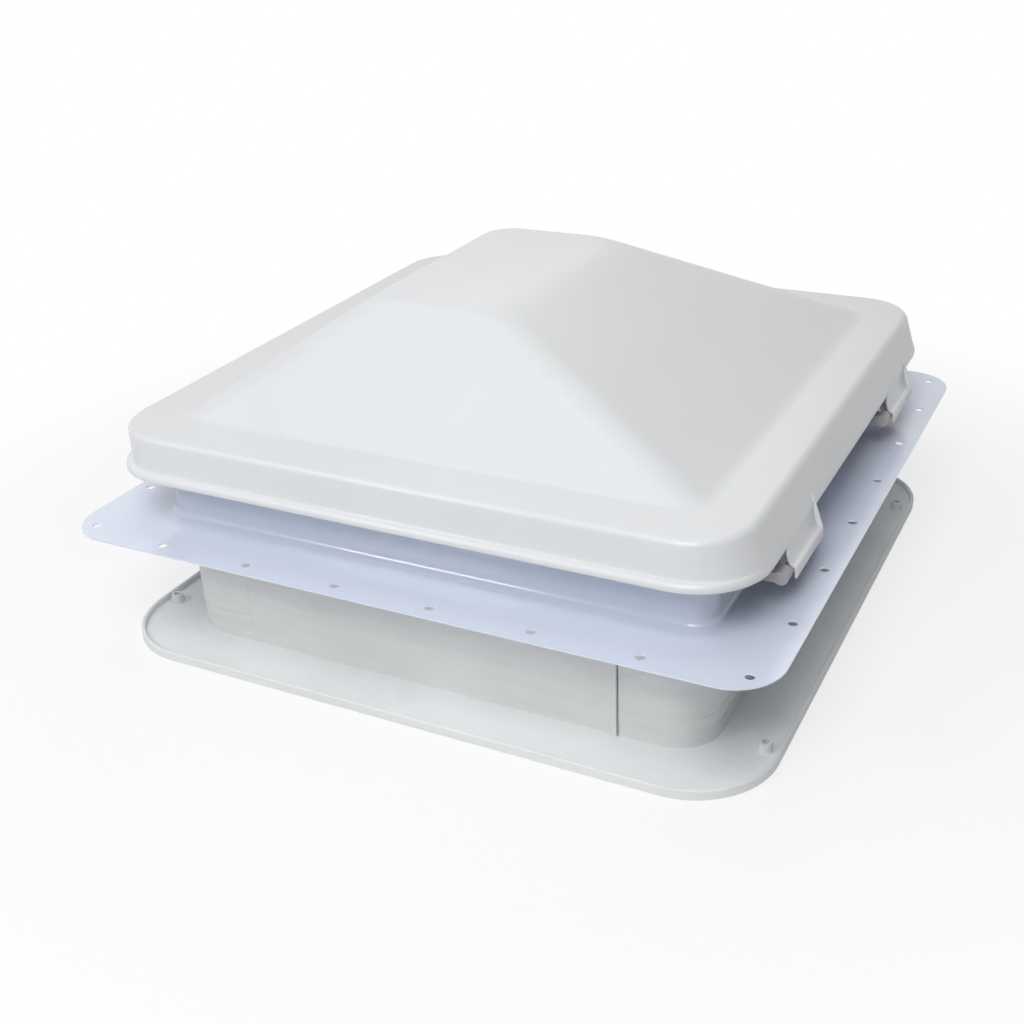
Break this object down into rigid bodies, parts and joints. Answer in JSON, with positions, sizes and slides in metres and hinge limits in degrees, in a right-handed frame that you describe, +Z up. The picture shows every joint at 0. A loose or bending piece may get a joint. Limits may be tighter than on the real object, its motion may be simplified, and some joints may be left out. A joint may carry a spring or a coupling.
{
  "type": "roof vent",
  "caption": "Square hand-opened roof vent with a hinged domed lid, wide screw flange, ceiling sleeve and frame, insect screen and worm-driven lift arm.",
  "frame": {"origin": "centre of the vent on the ceiling face of the ceiling frame", "axes": "+Z up through the roof, +X towards the lid's hinges, -Y towards the viewer's front side in the picture"},
  "size_m": [0.45, 0.45, 0.2087],
  "materials": {
    "lid_plastic": "satin moulded plastic, cool near-white with fine dark specks",
    "flange_paint": "glossy painted pressed sheet, white with a lavender cast",
    "trim_plastic": "matt moulded plastic, light warm grey",
    "bracket_plastic": "matt moulded plastic, pinkish grey",
    "rivet_metal": "plain aluminium rivet",
    "bridge_paint": "painted folded sheet, light grey",
    "housing_plastic": "matt black moulded plastic",
    "bush_brass": "turned brass bush",
    "wheel_brass": "cut brass wheel",
    "screw_steel": "zinc plated steel",
    "arm_steel": "plated steel bar and shaft",
    "track_aluminium": "extruded aluminium",
    "slider_plastic": "natural white nylon",
    "seal_foam": "soft black foam rubber",
    "dark_rubber": "black rubber",
    "mesh_wire": "dark coated aluminium wire gauze",
    "knob_plastic": "matt moulded plastic, light grey"
  },
  "bodies": {
    "base": {"roof_flange": "flange_paint", "hinge_bracket_front": "bracket_plastic", "hinge_bracket_rear": "bracket_plastic", "bracket_rivets": "rivet_metal", "operator_bridge": "bridge_paint", "bridge_rivets": "rivet_metal", "gear_housing": "housing_plastic", "gear_cover": "housing_plastic", "cover_screws": "screw_steel", "mount_screws": "screw_steel", "mount_nuts": "screw_steel", "arm_bush_front": "bush_brass", "arm_bush_rear": "bush_brass", "worm_bush_lower": "bush_brass", "worm_bush_upper": "bush_brass", "garnish": "trim_plastic", "sleeve_panel_front": "trim_plastic", "sleeve_panel_right": "trim_plastic", "sleeve_panel_rear": "trim_plastic", "sleeve_panel_left": "trim_plastic", "sleeve_corner_rear_right": "trim_plastic", "sleeve_corner_rear_left": "trim_plastic", "sleeve_corner_front_left": "trim_plastic", "sleeve_corner_front_right": "trim_plastic", "screen_frame": "trim_plastic", "insect_mesh": "mesh_wire", "mesh_cord": "dark_rubber", "screen_screws": "screw_steel", "shaft_grommet": "dark_rubber"},
    "lid": {"lid": "lid_plastic", "lid_seal": "seal_foam", "lift_track": "track_aluminium", "track_screws": "screw_steel", "hinge_pin_front": "screw_steel", "hinge_pin_rear": "screw_steel", "pin_clips": "screw_steel"},
    "arm": {"lift_arm": "arm_steel", "arm_shaft": "arm_steel", "worm_wheel": "wheel_brass", "arm_nut": "screw_steel"},
    "slider": {"track_slider": "slider_plastic", "slider_pin": "screw_steel"},
    "crank": {"worm_shaft": "arm_steel", "crank_knob": "knob_plastic", "knob_screw": "screw_steel"}
  },
  "joints": [
    {"name": "lid_hinge", "type": "hinge", "parent": "base", "child": "lid", "pos_m": [0.205, 0, 0.1052], "axis": [0, 1, 0], "range_deg": [0, 55]},
    {"name": "arm_pivot", "type": "hinge", "parent": "base", "child": "arm", "pos_m": [0.09923, 0, 0.11165], "axis": [0, 1, 0], "range_deg": [0, 110]},
    {"name": "slider_pivot", "type": "hinge", "parent": "arm", "child": "slider", "pos_m": [0.01744, 0, 0.17903], "axis": [0, -1, 0], "range_deg": [0, 55]},
    {"name": "crank_turn", "type": "hinge", "parent": "base", "child": "crank", "pos_m": [0.07823, -0.015, 0.03], "axis": [0, 0, -1], "range_deg": [0, 3300]}
  ],
  "couplings": [
    {"joint": "arm_pivot", "follows": "lid_hinge", "ratio": 2},
    {"joint": "slider_pivot", "follows": "lid_hinge", "ratio": 1},
    {"joint": "crank_turn", "follows": "lid_hinge", "ratio": 60}
  ]
}
